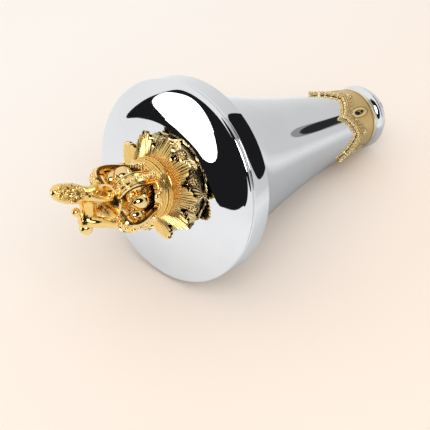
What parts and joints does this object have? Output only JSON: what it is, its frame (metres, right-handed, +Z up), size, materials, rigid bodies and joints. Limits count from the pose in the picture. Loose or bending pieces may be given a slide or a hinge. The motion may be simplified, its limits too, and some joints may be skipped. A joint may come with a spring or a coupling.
{
  "type": "ceremonial mace head",
  "caption": "Head of a drum major's ceremonial mace: flared polished body with a flat domed front, gilded leaf-edged neck band, and a cast finial of leaves, open crown and crowned lion.",
  "frame": {"origin": "on the ground under the middle of the mace head as it lies, at the bottom centre of its bounding box", "axes": "+X along the length from the lion towards the staff end, level with the ground; +Z up; the mace's own axis lies in the XZ plane and falls 13.2 degrees towards +X"},
  "size_m": [0.291, 0.131, 0.1301],
  "materials": {
    "polished_chrome": "mirror-polished chrome plate",
    "gilt_satin": "pale gilt with a satin ground and chased edges",
    "gilt_casting": "gilt casting with fine tooled ridges, darker in the recesses",
    "gilt_polished": "bright burnished gilt"
  },
  "bodies": {
    "root": {"bell": "polished_chrome", "dome": "polished_chrome", "neck_ferrule": "polished_chrome", "neck_band": "gilt_satin", "finial_base": "gilt_casting", "leaf_collar": "gilt_casting", "crown": "gilt_casting", "crown_cap": "gilt_polished", "lion": "gilt_polished"}
  },
  "joints": []
}
